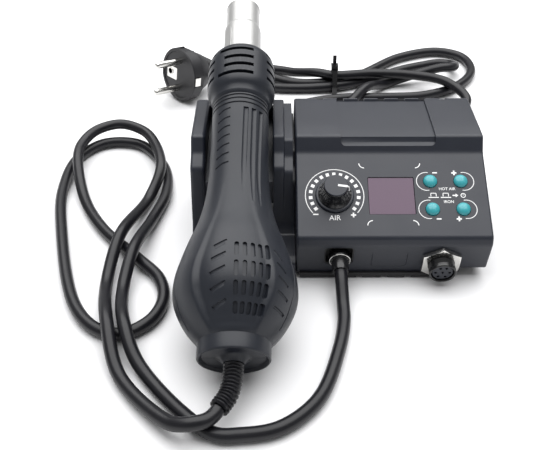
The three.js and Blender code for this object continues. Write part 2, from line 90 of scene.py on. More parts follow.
KNOB_AT = (-1.8, 24.2)
WINDOW_AT = (28.0, 24.1)
WINDOW_SIZE = (24.4, 21.8)
BUTTON_COLUMNS = (48.8, 64.8)
BUTTON_ROWS = (16.1, 32.4)
BUTTON_RADIUS = 3.4

GLAND_AT = (0.8, 11.5)
POCKET_AT = (0.2, 14.4)
POCKET_SIZE = (15.4, 13.2)
SOCKET_AT = (53.7, 10.0)
SOCKET_RADIUS = 6.9
MAINS_INLET = (40.0, 18.0)

CRADLE_LEFT = -78.3
CRADLE_INNER_LEFT = -70.3
CRADLE_INNER_RIGHT = -34.1
CRADLE_RIGHT = -27.8
CASE_GAP = 0.3

HANDSET_REAR = (-51.3, -102.3, 17.4)
HANDSET_TILT = math.radians(22.0)
GRIP_RADIUS = 15.0
COLLAR_RADIUS = 18.3
NOZZLE_RADIUS = 10.4
NOZZLE_END = 217.0

HANDSET_LEAD_RADIUS = 3.3
MAINS_LEAD_RADIUS = 3.4

PLUG_REAR = (-80.2, 198.9, 15.0)
PLUG_AXIS = Vector((-0.705, -0.69, 0.165)).normalized()
PLUG_FACE = 33.0
PLUG_RADIUS = 19.2
PIN_SPACING = 20.0
PIN_RADIUS = 2.4
PIN_LENGTH = 21.0
EARTH_HOLE_AT = -9.4
CLIP_SEAT_AT = PLUG_RADIUS - 1.4

# ---------------- routes of the leads, in millimetres

RELIEF_ROUTE = [
    (-51.3, -104.2, 16.6), (-51.6, -110, 14.7), (-53.2, -116.8, 12.2), (-55.4, -120.6, 11.3),
    (-57, -123.2, 10.9),
]

HANDSET_LEAD_ROUTE = [
    (-57.2, -123.5, 10.85), (-58.8, -126.1, 10.5), (-62, -129.4, 10.8), (-67.5, -131, 10.8),
    (-73, -130.2, 9.2), (-79, -127, 7), (-104, -99, 4.2), (-114, -70, 10.9), (-121, -34, 4.2),
    (-118.3, -2, 10.9), (-109, 42, 4.2), (-104, 66, 10.9), (-112, 95, 12.5), (-121, 108, 13.2),
    (-137, 116, 13.4), (-151, 109, 13), (-158, 94, 12), (-158, 78, 10.9), (-148, 43, 4.2),
    (-131, 12, 3.8), (-108, -14, 3.8), (-94, -31, 3.8), (-90, -48, 3.8), (-95, -63, 3.8),
    (-107, -71.8, 3.8), (-120, -68.5, 3.8), (-134, -52, 3.8), (-155, 12, 3.8), (-163, 52, 3.8),
    (-161, 88, 3.8), (-147, 107, 3.8), (-124, 106, 3.8), (-104, 78, 3.8), (-99, 50, 4), (-104, 18, 5.5),
    (-109, -14, 11), (-111, -42, 6.4), (-105, -73, 10.9), (-95, -94, 4.6), (-60, -130.5, 3.8),
    (-48, -131.4, 3.8), (-31, -127.8, 3.8), (-14, -112.4, 3.8), (-2.7, -82, 3.8), (1.1, -62, 3.8),
    (1.3, -52, 4.9), (1.1, -45, 8.2), (0.9, -39.5, 11.1), (0.8, -35.3, 12),
]

MAINS_LEAD_ROUTE = [
    (40, 89.4, 18), (40, 93, 18), (41.2, 102, 16.2), (50, 114, 9.5), (68, 127, 4.4), (94, 143, 4.5),
    (106, 161, 8), (94, 183, 11.2), (73, 193, 11.3), (42, 196, 11.6), (12, 192.3, 11.9), (0, 197, 11.7),
    (-18, 210, 6), (-29, 218, 4), (-45, 221, 4), (-55, 211, 4), (-51, 197, 4), (-34, 188.5, 4),
    (-9, 187, 4), (12, 188.3, 5.2), (40, 201, 4), (67, 218, 4), (84, 225.5, 4), (98, 230, 4),
    (106, 225.3, 5.2), (107.8, 216.6, 7.8), (103, 209.2, 10.2), (94, 206.4, 11), (66, 201, 5.4),
    (50, 193, 4), (34, 174, 10.9), (12, 146.5, 4.6), (-3, 140.5, 4), (-11.8, 143.7, 4), (-15.5, 152.5, 4),
    (-11.8, 161.3, 4), (-3, 165.5, 4), (20, 171, 4), (46, 171.6, 4), (79, 175, 4), (106, 191, 4),
    (121, 216, 4), (118, 242, 4), (100, 252, 4), (68, 241, 4), (34, 210, 4), (12, 195.8, 5.2),
    (-16, 195.5, 4), (-34, 203.5, 4.4), (-44, 207, 8), (-54, 210, 11.4), (-64, 211.2, 11.6),
    (-71.5, 207.6, 12.2), (-76.6, 202.6, 14.0), (-79.9, 199.2, 14.94),
]

# ---------------- shapes


def rotation_frame(x_axis, y_axis, z_axis, origin):
    """Local axes and origin, in the part's millimetres, as one matrix."""
    columns = Matrix((x_axis, y_axis, z_axis)).transposed().to_4x4()
    return Matrix.Translation(Vector(origin)) @ columns


def slope_frame(origin, towards):
    """Local X along the case, local Y up a slope given in (y, z), local Z out of it."""
    up = Vector((0.0, towards[0] - origin[0], towards[1] - origin[1])).normalized()
    across = Vector((1.0, 0.0, 0.0))
    return rotation_frame(across, up, across.cross(up), (0.0, origin[0], origin[1]))


PANEL = slope_frame(PANEL_START, PANEL_END)
FACE = slope_frame(FOOT, NOSE_LOW)
STEP = slope_frame(PANEL_END, STEP_END)

HANDSET_AXIS = Vector((0.0, math.cos(HANDSET_TILT), math.sin(HANDSET_TILT)))
HANDSET_SIDE = Vector((-1.0, 0.0, 0.0))
HANDSET = rotation_frame(HANDSET_SIDE, HANDSET_AXIS.cross(HANDSET_SIDE), HANDSET_AXIS, HANDSET_REAR)

PLUG_SIDE = Vector((0.0, 0.0, 1.0)).cross(PLUG_AXIS).normalized()
PLUG = rotation_frame(PLUG_SIDE, PLUG_AXIS.cross(PLUG_SIDE), PLUG_AXIS, PLUG_REAR)

# Turns an outline drawn in (y, z) and pushed along local Z into a body that runs along X
ALONG_X = Matrix(((0, 0, 1, 0), (1, 0, 0, 0), (0, 1, 0, 0), (0, 0, 0, 1)))


def moved(x, y, z):
    return Matrix.Translation((x, y, z))


def spun(axis, turn):
    """A turn in degrees round an axis."""
    return Matrix.Rotation(math.radians(turn), 4, axis)


def at(place, x, y, z=0.0):
    return place @ moved(x, y, z)


def smooth_step(value):
    """0 below 0, 1 above 1, and an easy curve between."""
    t = min(max(value, 0.0), 1.0)
    return t * t * (3 - 2 * t)


def polar(radius, turn, centre=(0, 0)):
    """The point at a radius and a turn in degrees round a centre."""
    t = math.radians(turn)
    return (centre[0] + radius * math.cos(t), centre[1] + radius * math.sin(t))


def arc(centre, radius, start, end, steps):
    """Points on an arc, angles in degrees, both ends included."""
    return [polar(radius, start + (end - start) * i / steps, centre) for i in range(steps + 1)]


def rounded_rectangle(width, height, radius, steps=6):
    w = width / 2 - radius
    h = height / 2 - radius
    return (
        arc((w, h), radius, 0, 90, steps) + arc((-w, h), radius, 90, 180, steps)
        + arc((-w, -h), radius, 180, 270, steps) + arc((w, -h), radius, 270, 360, steps)
    )


def stadium(width, length, steps=8):
    """A slot outline with round ends, long along Y."""
    r = width / 2
    half = length / 2 - r
    return arc((0, half), r, 0, 180, steps) + arc((0, -half), r, 180, 360, steps)


def rounded_outline(corners, steps=8):
    """An outline through (x, y, reach) corners, each rounded off by a quadratic curve of that reach."""
    outline = []
    count = len(corners)
    for i, (x, y, reach) in enumerate(corners):
        corner = Vector((x, y))
        if reach == 0:
            outline.append(corner)
            continue
        before = Vector(corners[i - 1][:2])
        after = Vector(corners[(i + 1) % count][:2])
        start = corner + (before - corner).normalized() * reach
        end = corner + (after - corner).normalized() * reach
        for k in range(steps + 1):
            t = k / steps
            outline.append(start * (1 - t) ** 2 + corner * 2 * t * (1 - t) + end * t ** 2)
    return [tuple(p) for p in outline]


def inset(points, distance):
    """Each edge of a closed outline moved inwards by a distance."""
    lines = []
    count = len(points)
    for i in range(count):
        p = Vector(points[i])
        q = Vector(points[(i + 1) % count])
        along = (q - p).normalized()
        lines.append((p + Vector((-along.y, along.x)) * distance, along))
    result = []
    for i in range(count):
        p, a = lines[i - 1]
        q, b = lines[i]
        across = a.x * b.y - a.y * b.x
        d = q - p
        t = (d.x * b.y - d.y * b.x) / across
        result.append(tuple(p + a * t))
    return result


def prism(outline, start, end):
    """A closed outline pushed along local Z."""
    bm = bmesh.new()
    low = [bm.verts.new((x, y, start)) for x, y in outline]
    high = [bm.verts.new((x, y, end)) for x, y in outline]
    bm.faces.new(low)
    bm.faces.new(high)
    count = len(outline)
    for i in range(count):
        bm.faces.new((low[i], low[(i + 1) % count], high[(i + 1) % count], high[i]))
    bmesh.ops.recalc_face_normals(bm, faces=bm.faces)
    return bm


def rounded_rectangle_prism(width, height, radius, start, end):
    return prism(rounded_rectangle(width, height, radius), start, end)


def box(x, y, z, centre=(0, 0, 0)):
    bm = prism([(-x / 2, -y / 2), (x / 2, -y / 2), (x / 2, y / 2), (-x / 2, y / 2)], -z / 2, z / 2)
    bmesh.ops.translate(bm, verts=bm.verts, vec=centre)
    return bm


def lathe(profile, segments=64):
    """A closed turned body on local Z from (along, radius) pairs; a radius of 0 is on the axis.

    A profile whose first pair is also its last is a ring."""
    ring = profile[0] == profile[-1]
    pairs = profile[:-1] if ring else profile
    bm = bmesh.new()
    rows = []
    for along, radius in pairs:
        if radius == 0:
            rows.append([bm.verts.new((0, 0, along))])
            continue
        turns = [2 * math.pi * i / segments for i in range(segments)]
        rows.append([bm.verts.new((radius * math.cos(t), radius * math.sin(t), along)) for t in turns])
    pairs_of_rows = list(zip(rows, rows[1:]))
    if ring:
        pairs_of_rows.append((rows[-1], rows[0]))
    for a, b in pairs_of_rows:
        for i in range(segments):
            j = (i + 1) % segments
            corners = [a[i % len(a)], a[j % len(a)], b[j % len(b)], b[i % len(b)]]
            # a row on the axis is one vertex, which then stands in the list twice
            face = list(dict.fromkeys(corners))
            if len(face) > 2:
                bm.faces.new(face)
    bmesh.ops.recalc_face_normals(bm, faces=bm.faces)
    return bm


def disc(radius, start, end, segments=48):
    return lathe([(start, 0), (start, radius), (end, radius), (end, 0)], segments)


def pipe(outer, inner, start, end, segments=64):
    return lathe([(start, inner), (start, outer), (end, outer), (end, inner), (start, inner)], segments)


def smooth_line(points, per_span=12):
    """A centripetal Catmull-Rom curve through the points, sampled evenly between each pair."""
    line = [Vector(p) for p in points]
    line = [2 * line[0] - line[1]] + line + [2 * line[-1] - line[-2]]
    samples = []
    for i in range(1, len(line) - 2):
        p0, p1, p2, p3 = line[i - 1:i + 3]
        t0, t1, t2 = [max((b - a).length ** 0.5, 1e-4) for a, b in ((p0, p1), (p1, p2), (p2, p3))]
        leave = ((p1 - p0) / t0 - (p2 - p0) / (t0 + t1) + (p2 - p1) / t1) * t1 / 3
        arrive = ((p2 - p1) / t1 - (p3 - p1) / (t1 + t2) + (p3 - p2) / t2) * t1 / 3
        samples.extend(interpolate_bezier(p1, p1 + leave, p2 - arrive, p2, per_span + 1)[:-1])
    samples.append(line[-2])
    return samples


def lengths_along(line):
    total = [0.0]
    for a, b in zip(line, line[1:]):
        total.append(total[-1] + (b - a).length)
    return total


def even_line(line, step):
    """The same line with points an even distance apart."""
    total = lengths_along(line)
    count = max(2, round(total[-1] / step))
    result = []
    k = 0
    for i in range(count + 1):
        wanted = total[-1] * i / count
        while k < len(total) - 2 and total[k + 1] < wanted:
            k += 1
        share = (wanted - total[k]) / (total[k + 1] - total[k])
        result.append(line[k].lerp(line[k + 1], min(max(share, 0.0), 1.0)))
    return result


def sweep(line, radius, sides):
    """A closed tube along a line; radius is a number or a function of the distance along it."""
    radius_at = radius if callable(radius) else (lambda along: radius)
    total = lengths_along(line)
    bm = bmesh.new()
    rings = []
    normal = None
    for i, point in enumerate(line):
        ahead = line[min(i + 1, len(line) - 1)] - line[max(i - 1, 0)]
        ahead.normalize()
        if normal is None:
            helper = Vector((0, 0, 1)) if abs(ahead.z) < 0.9 else Vector((1, 0, 0))
            normal = ahead.cross(helper).normalized()
        else:
            normal = (normal - ahead * normal.dot(ahead)).normalized()
        binormal = ahead.cross(normal)
        r = radius_at(total[i])
        turns = [2 * math.pi * k / sides for k in range(sides)]
        ring = [point + (normal * math.cos(t) + binormal * math.sin(t)) * r for t in turns]
        rings.append([bm.verts.new(v) for v in ring])
    for a, b in zip(rings, rings[1:]):
        for k in range(sides):
            j = (k + 1) % sides
            bm.faces.new((a[k], a[j], b[j], b[k]))
    bm.faces.new(rings[0])
    bm.faces.new(rings[-1])
    bmesh.ops.recalc_face_normals(bm, faces=bm.faces)
    return bm


def placed(bm, matrix):
    bm.transform(matrix)
    return bm


def together(*parts):
    """Several closed bodies in one bmesh."""
    whole = bmesh.new()
    for part in parts:
        mesh = bpy.data.meshes.new("part")
        part.to_mesh(mesh)
        part.free()
        whole.from_mesh(mesh)
        bpy.data.meshes.remove(mesh)
    return whole


# ---------------- objects


def scratch(bm, name="cutter"):
    mesh = bpy.data.meshes.new(name)
    bm.to_mesh(mesh)
    bm.free()
    obj = bpy.data.objects.new(name, mesh)
    bpy.context.scene.collection.objects.link(obj)
    return obj


def evaluated(obj):
    """The object's mesh with its modifiers applied."""
    bpy.context.view_layer.update()
    graph = bpy.context.evaluated_depsgraph_get()
    return bpy.data.meshes.new_from_object(obj.evaluated_get(graph))


def apply_all(obj):
    mesh = evaluated(obj)
    old = obj.data
    obj.modifiers.clear()
    obj.data = mesh
    bpy.data.meshes.remove(old)


def combine(obj, parts, operation):
    """Booleans one after another; the parts are used up."""
    others = [scratch(part) for part in parts]
    for other in others:
        modifier = obj.modifiers.new("boolean", "BOOLEAN")
        modifier.operation = operation
        modifier.solver = "MANIFOLD"
        modifier.object = other
    apply_all(obj)
    for other in others:
        mesh = other.data
        bpy.data.objects.remove(other)
        bpy.data.meshes.remove(mesh)
    return obj


def taken_back(obj):
    """A scratch object's mesh as a bmesh again; the object is used up."""
    bm = bmesh.new()
    bm.from_mesh(obj.data)
    bpy.data.objects.remove(obj)
    return bm


def carve(obj, cutters):
    return combine(obj, cutters, "DIFFERENCE")


def weld(obj, parts):
    return combine(obj, parts, "UNION")


def soften(obj, width, segments=2, angle=35.0):
    """Rounds the edges sharper than the angle."""
    modifier = obj.modifiers.new("bevel", "BEVEL")
    modifier.width = width
    modifier.segments = segments
    modifier.limit_method = "ANGLE"
    modifier.angle_limit = math.radians(angle)
    modifier.use_clamp_overlap = True
    modifier.miter_outer = "MITER_ARC"
    apply_all(obj)
    return obj


def shade(obj, material, smooth):
    """Smooth shading but for edges sharper than the angle, and one material."""
    obj.data.polygons.foreach_set("use_smooth", [True] * len(obj.data.polygons))
    obj.data.set_sharp_from_angle(angle=math.radians(smooth))
    obj.data.materials.clear()
    obj.data.materials.append(material)


def even_normals(obj):
    """Lets the large faces decide the shading, so that flat areas look flat up to their rounded edges."""
    modifier = obj.modifiers.new("normals", "WEIGHTED_NORMAL")
    modifier.keep_sharp = True
    modifier.weight = 90
    apply_all(obj)


def finish_piece(obj, name, material, replaces=(), body="station", smooth=40.0):
    """Millimetres to metres, shading, material, and what the piece is for."""
    obj.data.transform(TO_METRES)
    obj.name = name
    obj.data.name = name
    shade(obj, material, smooth)
    even_normals(obj)
    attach(obj, body)
    if replaces:
        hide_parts(*replaces)
    return obj


# ---------------- materials


class Nodes:
    """Adds shader nodes to a new material; an input is a value or another node's output."""

    def __init__(self, name):
        self.material = bpy.data.materials.new(name)
        self.material.use_nodes = True
        self.tree = self.material.node_tree
        self.shader = self.tree.nodes["Principled BSDF"]

    def fill(self, node, inputs):
        for name, value in inputs.items():
            if isinstance(value, bpy.types.NodeSocket):
                self.tree.links.new(value, node.inputs[name])
            else:
                node.inputs[name].default_value = value

    def add(self, kind, output, inputs):
        node = self.tree.nodes.new(kind)
        self.fill(node, inputs)
        return node.outputs[output]

    def noise(self, place, scale, detail):
        inputs = {"Scale": scale, "Detail": detail, "Roughness": 0.55, "Vector": place}
        return self.add("ShaderNodeTexNoise", "Fac", inputs)

    def spread(self, source, low, high):
        """The middle of a noise's range stretched to run from low to high."""
        inputs = {"From Min": 0.3, "From Max": 0.7, "To Min": low, "To Max": high, "Value": source}
        return self.add("ShaderNodeMapRange", "Result", inputs)

    def mixed(self, share, first, second):
        node = self.tree.nodes.new("ShaderNodeMix")
        node.data_type = "RGBA"
        self.fill(node, {"A": (*first, 1), "B": (*second, 1), "Factor": share})
        return node.outputs["Result"]

    def bumped(self, height, distance, strength, **under):
        inputs = {"Distance": distance, "Strength": strength, "Height": height, **under}
        return self.add("ShaderNodeBump", "Normal", inputs)


def moulded(name, dark, light, roughness, grain=2600.0, depth=0.00002, specular=0.5, coat=0.0):
    """Moulded plastic or rubber: a fine grain in the surface, faint mottling in colour and gloss."""
    nodes = Nodes(name)
    place = nodes.add("ShaderNodeTexCoord", "Object", {})
    mottle = nodes.noise(place, 55.0, 4.0)
    soft_wave = nodes.bumped(nodes.noise(place, 140.0, 2.0), 0.00006, 0.35)
    nodes.fill(nodes.shader, {
        "Base Color": nodes.mixed(mottle, dark, light),
        "Roughness": nodes.spread(mottle, *roughness),
        "Normal": nodes.bumped(nodes.noise(place, grain, 2.0), depth, 0.8, Normal=soft_wave),
        "Specular IOR Level": specular,
        "Coat Weight": coat,
        "Coat Roughness": 0.12,
    })
    return nodes.material


def metal(name, dark, light, roughness, stretch=(1.0, 1.0, 1.0), metallic=1.0):
    """Plated or drawn metal: fine lines, drawn out by the stretch, and faint colour change."""
    nodes = Nodes(name)
    place = nodes.add("ShaderNodeTexCoord", "Object", {})
    stretched = nodes.add("ShaderNodeMapping", "Vector", {"Scale": stretch, "Vector": place})
    lines = nodes.noise(stretched, 900.0, 3.0)
    nodes.fill(nodes.shader, {
        "Base Color": nodes.mixed(nodes.noise(place, 120.0, 3.0), dark, light),
        "Roughness": nodes.spread(lines, *roughness),
        "Normal": nodes.bumped(lines, 0.000006, 0.6),
        "Metallic": metallic,
    })
    return nodes.material


CASE_PLASTIC = moulded(
    "case_plastic", (0.012, 0.0145, 0.023), (0.017, 0.02, 0.03), (0.36, 0.44), specular=0.46,
)
HANDSET_PLASTIC = moulded(
    "handset_plastic", (0.011, 0.013, 0.019), (0.015, 0.018, 0.025), (0.38, 0.46), specular=0.4,
)
GLOSS_PLASTIC = moulded(
    "gloss_plastic", (0.008, 0.008, 0.009), (0.014, 0.014, 0.015), (0.16, 0.26), 1800.0, 0.000006,
)
# Darker, rougher plastic for the hidden inner parts and the base cover; in the gland pocket its darkness is
# painted shade.
INNER_PLASTIC_AND_SHADE = moulded("inner_plastic_and_painted_shade", (0.01, 0.01, 0.011), (0.016, 0.016, 0.017), (0.5, 0.62))
LEAD_RUBBER = moulded(
    "lead_rubber", (0.006, 0.006, 0.008), (0.009, 0.009, 0.012), (0.3, 0.38), 1500.0, 0.00002, 0.36,
)
PLUG_RUBBER = moulded(
    "plug_rubber", (0.01, 0.01, 0.012), (0.015, 0.015, 0.018), (0.42, 0.52), 2000.0, 0.00002,
)
FOOT_RUBBER = moulded("foot_rubber", (0.02, 0.02, 0.021), (0.03, 0.03, 0.031), (0.7, 0.82), 1200.0, 0.00004)
TEAL_PLASTIC = moulded(
    "teal_plastic", (0.028, 0.31, 0.35), (0.045, 0.37, 0.41), (0.3, 0.38), 1500.0, 0.00001, 0.5, 0.25,
)
WINDOW_PLASTIC = moulded(
    "window_plastic", (0.105, 0.065, 0.1), (0.125, 0.08, 0.12), (0.3, 0.38), 900.0, 0.000004, 0.3,
)
PRINT_WHITE = moulded("print_white", (0.8, 0.8, 0.8), (0.87, 0.87, 0.87), (0.45, 0.55), 2600.0, 0.000008)
BOARD_GREEN = moulded("board_green", (0.02, 0.12, 0.045), (0.03, 0.16, 0.06), (0.35, 0.5), 600.0, 0.00001)
MICA = moulded("mica_sheet", (0.42, 0.38, 0.27), (0.52, 0.47, 0.34), (0.5, 0.7), 700.0, 0.00003)
BRIGHT_STEEL = metal(
    "bright_steel", (0.46, 0.46, 0.455), (0.56, 0.56, 0.55), (0.36, 0.5), (1.0, 0.06, 0.06), metallic=0.55,
)
NICKEL = metal("nickel_plate", (0.68, 0.67, 0.64), (0.78, 0.77, 0.74), (0.14, 0.26))
SCREW_STEEL = metal("screw_steel", (0.4, 0.4, 0.41), (0.5, 0.5, 0.5), (0.25, 0.4))

# ---------------- camera, floor and light

CAMERA_AT = (-33.0, -335.0, 268.0)
CAMERA_DOWN = math.radians(37.0)
CAMERA_ROLL = 0.1
CAMERA_LENS = 49.94  # on a sensor 36 mm wide


def add_camera():
    ahead = Vector((0.0, math.cos(CAMERA_DOWN), -math.sin(CAMERA_DOWN)))
    right = Vector((1.0, 0.0, 0.0))
    level = rotation_frame(right, right.cross(ahead), -ahead, metres(CAMERA_AT))
    data = bpy.data.cameras.new("camera")
    data.lens = CAMERA_LENS
    data.sensor_width = 36.0
    data.clip_start = 0.01
    camera = bpy.data.objects.new("camera", data)
    camera.matrix_world = level @ spun("Z", -CAMERA_ROLL)
    bpy.context.scene.collection.objects.link(camera)
    bpy.context.scene.camera = camera


def add_floor():
    nodes = Nodes("floor_white")
    look = {"Base Color": (0.86, 0.86, 0.87, 1), "Roughness": 0.75, "Specular IOR Level": 0.2}
    nodes.fill(nodes.shader, look)
    bm = bmesh.new()
    corners = [(-4, -4), (4, -4), (4, 4), (-4, 4)]
    bm.faces.new([bm.verts.new((x, y, -0.00005)) for x, y in corners])
    floor = scratch(bm, "floor")
    floor.data.materials.append(nodes.material)


def area_light(name, place, aim, size, power):
    data = bpy.data.lights.new(name, "AREA")
    data.shape = "RECTANGLE"
    data.size, data.size_y = size
    data.energy = power
    light = bpy.data.objects.new(name, data)
    light.location = place
    light.rotation_euler = (Vector(aim) - Vector(place)).to_track_quat("-Z", "Y").to_euler()
    bpy.context.scene.collection.objects.link(light)


def add_lights():
    world = bpy.data.worlds.new("studio")
    world.use_nodes = True
    background = world.node_tree.nodes["Background"]
    background.inputs["Color"].default_value = (1.0, 1.0, 1.0, 1)
    background.inputs["Strength"].default_value = 0.32
    bpy.context.scene.world = world
    area_light("overhead", (0.0, 0.5, 1.5), (0.0, 0.1, 0.03), (2.6, 2.4), 65.0)
    bpy.context.scene.view_settings.view_transform = "Standard"


# ---------------- leads

LEAD_SIDES = 24
LEAD_STEP = 2.0
RELIEF_STEP = 0.22
RIB_PITCH = 1.65


def ribbed(along):
    """Radius of the ribbed boot at a distance along it."""
    rib = 0.5 + 0.5 * math.cos(2 * math.pi * (along % RIB_PITCH) / RIB_PITCH)
    return 3.85 + 0.8 * rib ** 0.6


def add_handset_lead():
    relief_line = even_line(smooth_line(RELIEF_ROUTE), RELIEF_STEP)
    relief = scratch(sweep(relief_line, ribbed, 32))
    finish_piece(
        relief, "ribbed_boot", LEAD_RUBBER, ["strain_relief"], body="handset", smooth=60)

    line = even_line(smooth_line(HANDSET_LEAD_ROUTE), LEAD_STEP)
    lead = scratch(sweep(line, HANDSET_LEAD_RADIUS, LEAD_SIDES), "handset_lead_tube")
    lead.data.transform(TO_METRES)
    shade(lead, LEAD_RUBBER, 50)
    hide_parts("handset_lead")
    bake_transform(lead)


def add_plug_shell():
    tail = [(0, 0), (0, 5.6)]
    for i in range(5):
        start = 1.2 + 2.2 * i
        rib = 6.4 + 1.1 * i
        tail += [(start, rib), (start + 1.2, rib), (start + 1.3, rib - 0.7), (start + 2.1, rib - 0.7)]
    front = [
        (13.0, 12.5), (17, 14.3), (20, 15.5), (22.5, 16), (23.6, 17.8), (24.6, PLUG_RADIUS),
        (32.4, PLUG_RADIUS), (PLUG_FACE, PLUG_RADIUS - 0.6), (PLUG_FACE, 16.9), (PLUG_FACE - 0.7, 16.6),
        (PLUG_FACE - 0.7, 0),
    ]
    body = scratch(lathe(tail + front, 128))
    cutters = [placed(disc(2.75, 14, 40, 40), moved(EARTH_HOLE_AT, 0, 0))]
    for sign in (-1, 1):
        cutters.append(box(3.4, 7.5, 12, (sign * (CLIP_SEAT_AT + 2.1), 0, PLUG_FACE - 5)))
    for sign in (1, -1):
        cutters.append(box(10, 3.6, 8.5, (0, sign * (CLIP_SEAT_AT + 1.6), PLUG_FACE - 5.5)))
    earth_recess = rounded_rectangle_prism(11.4, 9.4, 1.2, PLUG_FACE - 1.6, PLUG_FACE + 1)
    cutters.append(placed(earth_recess, moved(EARTH_HOLE_AT + 1.6, -0.6, 0)))
    carve(body, cutters)
    soften(body, 0.3, 2, 50)
    body.data.transform(PLUG)
    return finish_piece(body, "plug_shell", PLUG_RUBBER, ["plug_body"])


def add_plug_pins():
    tip = PLUG_FACE + PIN_LENGTH
    profile = [(16, 0), (16, PIN_RADIUS), (tip - 2, PIN_RADIUS), (tip - 0.6, 1.7), (tip, 0.7), (tip, 0)]
    pieces = []
    for sign, node in ((1, "plug_pin_upper"), (-1, "plug_pin_lower")):
        pin = scratch(lathe(profile, 40))
        pin.data.transform(at(PLUG, 0, sign * PIN_SPACING / 2))
        finish_piece(pin, f"{node}_round", NICKEL, [node])
        pieces.append(pin)
    return pieces


def add_earth_plate():
    """The plated square round the earth hole in the plug's face, with the hole's own sleeve."""
    plate = scratch(rounded_rectangle_prism(11, 9, 1.0, PLUG_FACE - 1.5, PLUG_FACE - 0.6))
    plate.data.transform(moved(1.6, -0.6, 0))
    carve(plate, [disc(2.2, 10, 40, 40)])
    weld(plate, [pipe(2.7, 2.1, 16, PLUG_FACE - 0.2, 40)])
    plate.data.transform(at(PLUG, EARTH_HOLE_AT, 0))
    return finish_piece(plate, "earth_plate", NICKEL, ["earth_sleeve"])


def add_earth_clips():
    pieces = []
    for sign, node in ((1, "earth_clip_near"), (-1, "earth_clip_far")):
        clip = scratch(box(0.9, 6.2, 4.6, (sign * (CLIP_SEAT_AT + 0.9), 0, PLUG_FACE - 3.2)))
        soften(clip, 0.3, 2, 40)
        clip.data.transform(PLUG)
        finish_piece(clip, f"{node}_strip", NICKEL, [node])
        pieces.append(clip)
    return pieces


def add_plug():
    """The earthed plug at the end of the mains lead; returns its pieces."""
    return [add_plug_shell()] + add_plug_pins() + [add_earth_plate()] + add_earth_clips()


def add_mains_lead():
    line = even_line(smooth_line(MAINS_LEAD_ROUTE), LEAD_STEP)
    tube = scratch(sweep(line, MAINS_LEAD_RADIUS, LEAD_SIDES))
    finish_piece(tube, "mains_lead_tube", LEAD_RUBBER, ["mains_lead"], smooth=50)
    ["mains_gland", "cable_tie"] + add_plug()


add_camera()
add_floor()
add_lights()
add_handset_lead()
add_mains_lead()

# ---------------- the handset

SHELL_PROFILE = [
    (7.4, 16.7), (9.4, 18.6), (14, 22.4), (19.9, 25.9), (26, 28.3), (31.4, 29.1), (38, 28.7), (45.3, 27),
    (56, 23.8), (67, 19.9), (75.6, 17.7), (85, 16.2), (96.3, 15.3), (110, GRIP_RADIUS), (142, GRIP_RADIUS),
]
SHELL_LINE = even_line(smooth_line([(along, radius, 0) for along, radius in SHELL_PROFILE], 16), 1.1)


def shell_radius(along):
    """Radius of the handset's shell at a distance along its axis."""
    for a, b in zip(SHELL_LINE, SHELL_LINE[1:]):
        if along <= b.x:
            share = max(0.0, (along - a.x) / (b.x - a.x))
            return a.y + (b.y - a.y) * share
    return GRIP_RADIUS


def shell_point(along, turn, out=0.0):
    """A point off the shell; turn is in degrees from the top, to the right as the user sees it."""
    t = math.radians(turn)
    radius = shell_radius(along) - sunk(along, turn) + out
    return Vector((-radius * math.sin(t), radius * math.cos(t), along))


def shell_place(along, turn):
    """A frame on the shell: X round it, Y along it, Z out of it."""
    t = math.radians(turn)
    slope = (shell_point(along + 1, turn).xy.length - shell_point(along - 1, turn).xy.length) / 2
    outward = Vector((-math.sin(t), math.cos(t), 0.0))
    meridian = (outward * slope + Vector((0, 0, 1))).normalized()
    normal = (outward - Vector((0, 0, 1)) * slope).normalized()
    return rotation_frame(meridian.cross(normal), meridian, normal, shell_point(along, turn))


def groove(points, radius, depth, fade=0.0):
    """A round-bottomed groove through (along, turn) points on the shell; it may run out at its end."""
    line = []
    count = 12
    for (a0, t0), (a1, t1) in zip(points, points[1:]):
        for i in range(count):
            share = i / count
            line.append((a0 + (a1 - a0) * share, t0 + (t1 - t0) * share))
    line.append(points[-1])
    last = len(line) - 1
    track = []
    for i, (along, turn) in enumerate(line):
        run_out = fade * max(0.0, (i / last - 0.6) / 0.4)
        track.append(shell_point(along, turn, radius - depth + run_out))
    return sweep(track, radius, 12)


SHELL_WALL = 4.6
HALF_OVERLAP = 0.12
VENT_ROWS = [(13.3, 19.0), (20.6, 27.2), (28.7, 36.3), (38.3, 46.4)]
VENT_TURNS = (3.0, 11.0, 19.0, 26.5, 33.5)
VENT_WIDTH = 2.0
VENT_DEPTH = 1.1

# Half the width, in degrees, of the scooped top of the bulb at a distance along it
SCOOP_EDGE = [
    (4.0, 40.0), (8.0, 38.0), (10.0, 36.0), (16.5, 38.0), (25.0, 40.0), (34.0, 39.0), (50.0, 34.0),
    (90.0, 24.0),
]
# How far the scoop lies under the round bulb
SCOOP_DEPTH = [
    (5.0, 0.0), (8.5, 0.3), (11.0, 1.5), (14.0, 2.3), (20.0, 2.6), (26.0, 2.2), (31.0, 1.8), (38.0, 1.4),
    (46.0, 1.0), (56.0, 0.6), (70.0, 0.25), (88.0, 0.0),
]


def read_off(table, along):
    """The value of a table of (along, value) pairs at a distance."""
    for (a0, v0), (a1, v1) in zip(table, table[1:]):
        if along <= a1:
            return v0 + (v1 - v0) * max(0.0, (along - a0) / (a1 - a0))
    return table[-1][1]


def sunk(along, turn):
    """How far the surface lies under the round bulb at a place on it."""
    inside = smooth_step((read_off(SCOOP_EDGE, along) - abs(turn)) / 7.0)
    return read_off(SCOOP_DEPTH, along) * inside


